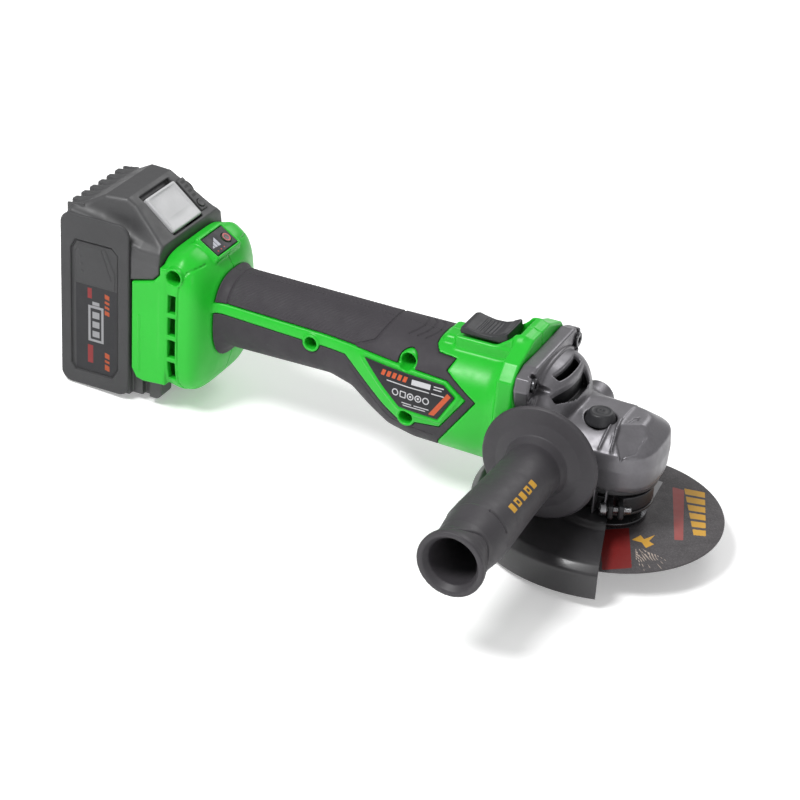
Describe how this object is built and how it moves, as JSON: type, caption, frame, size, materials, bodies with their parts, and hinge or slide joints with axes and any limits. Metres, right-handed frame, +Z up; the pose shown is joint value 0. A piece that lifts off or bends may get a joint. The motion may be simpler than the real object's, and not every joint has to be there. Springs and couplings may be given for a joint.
{
  "type": "cordless angle grinder",
  "caption": "Cordless angle grinder with a slide switch, round-nosed gear head, cutting disc under a half guard, flanged side handle and slide-on battery pack.",
  "frame": {"origin": "centre of the spindle's flat end face, under the cutting disc", "axes": "+Z up along the spindle axis, +X from the battery towards the gear head's nose, side handle along -Y"},
  "size_m": [0.3884, 0.2334, 0.1332],
  "materials": {
    "green_plastic": "fine moulded texture, satin",
    "black_rubber": "soft matt overmould",
    "black_plastic": "satin",
    "grey_plastic": "fine moulded texture",
    "light_grey_plastic": "satin",
    "cast_aluminium": "satin die casting, dark clear coat",
    "steel": "machined",
    "painted_steel": "black powder coat",
    "disc_resin": "rough resin-bonded abrasive",
    "copper_winding": "lacquered windings",
    "circuit_board": "green solder mask",
    "cell_wrap": "shrink wrap",
    "label_film": "printed film, no lettering"
  },
  "bodies": {
    "housing": {"housing_left": "green_plastic", "housing_right": "green_plastic", "grip_rubber_left": "black_rubber", "grip_rubber_right": "black_rubber", "label_plate_left": "label_film", "label_plate_right": "label_film", "display_panel": "black_plastic", "terminal_block": "black_plastic", "control_board": "circuit_board", "power_switch": "black_plastic", "motor_stator": "copper_winding", "fan_baffle": "black_plastic", "rear_bearing": "steel", "front_bearing": "steel", "bearing_plate": "cast_aluminium", "gear_case": "cast_aluminium", "needle_bearing": "steel", "spindle_bearing": "steel", "bearing_cap": "cast_aluminium", "lock_spring": "steel", "side_handle_grip": "black_rubber", "side_handle_stud": "steel", "gear_case_screw_1": "steel", "gear_case_screw_2": "steel", "gear_case_screw_3": "steel", "gear_case_screw_4": "steel", "housing_screw_1": "steel", "housing_screw_2": "steel", "housing_screw_3": "steel", "housing_screw_4": "steel"},
    "spindle": {"spindle": "steel", "ring_gear": "steel", "inner_flange": "steel", "cutting_disc": "disc_resin", "clamp_nut": "steel"},
    "rotor": {"rotor_shaft": "steel", "rotor_core": "steel", "cooling_fan": "black_plastic", "drive_pinion": "steel"},
    "guard": {"guard_shell": "painted_steel", "guard_band": "steel", "guard_clamp_screw": "steel"},
    "lock": {"lock_button": "black_plastic"},
    "switch": {"slide_switch": "black_plastic", "switch_link": "black_plastic"},
    "speed": {"speed_button": "light_grey_plastic"},
    "pack": {"battery_case": "grey_plastic", "battery_top_cover": "grey_plastic", "battery_side_left": "grey_plastic", "battery_side_right": "grey_plastic", "battery_board": "circuit_board", "gauge_panel": "label_film", "cell_pair_1": "cell_wrap", "cell_pair_2": "cell_wrap", "cell_pair_3": "cell_wrap", "cell_pair_4": "cell_wrap", "cell_pair_5": "cell_wrap"},
    "release": {"release_button": "light_grey_plastic"},
    "gauge": {"gauge_button": "light_grey_plastic"}
  },
  "joints": [
    {"name": "spindle_spin", "type": "hinge", "parent": "housing", "child": "spindle", "pos_m": [0, 0, 0], "axis": [0, 0, 1], "continuous": true},
    {"name": "rotor_spin", "type": "hinge", "parent": "housing", "child": "rotor", "pos_m": [0, 0, 0.0565], "axis": [1, 0, 0], "continuous": true},
    {"name": "guard_turn", "type": "hinge", "parent": "housing", "child": "guard", "pos_m": [0, 0, 0.02], "axis": [0, 0, 1], "range_deg": [-120, 120]},
    {"name": "lock_press", "type": "slide", "parent": "housing", "child": "lock", "axis": [0, 0, -1], "range_m": [0, 0.003], "stiffness_N_per_m": 2000, "springref_m": -0.001, "deforming": ["lock_spring"]},
    {"name": "switch_slide", "type": "slide", "parent": "housing", "child": "switch", "axis": [1, 0, 0], "range_m": [0, 0.006], "stiffness_N_per_m": 800, "springref_m": -0.002},
    {"name": "speed_press", "type": "slide", "parent": "housing", "child": "speed", "axis": [-0.5358, 0, -0.8443], "range_m": [0, 0.0008], "stiffness_N_per_m": 2000, "springref_m": -0.0002},
    {"name": "pack_slide", "type": "slide", "parent": "housing", "child": "pack", "axis": [0, 0, 1], "range_m": [0, 0.1]},
    {"name": "release_press", "type": "slide", "parent": "pack", "child": "release", "axis": [-0.6334, 0, -0.7738], "range_m": [0, 0.003], "stiffness_N_per_m": 1500, "springref_m": -0.001},
    {"name": "gauge_press", "type": "slide", "parent": "pack", "child": "gauge", "axis": [-0.6334, 0, -0.7738], "range_m": [0, 0.0006], "stiffness_N_per_m": 2000, "springref_m": -0.0002}
  ],
  "couplings": [
    {"joint": "rotor_spin", "follows": "spindle_spin", "ratio": -2.8}
  ]
}
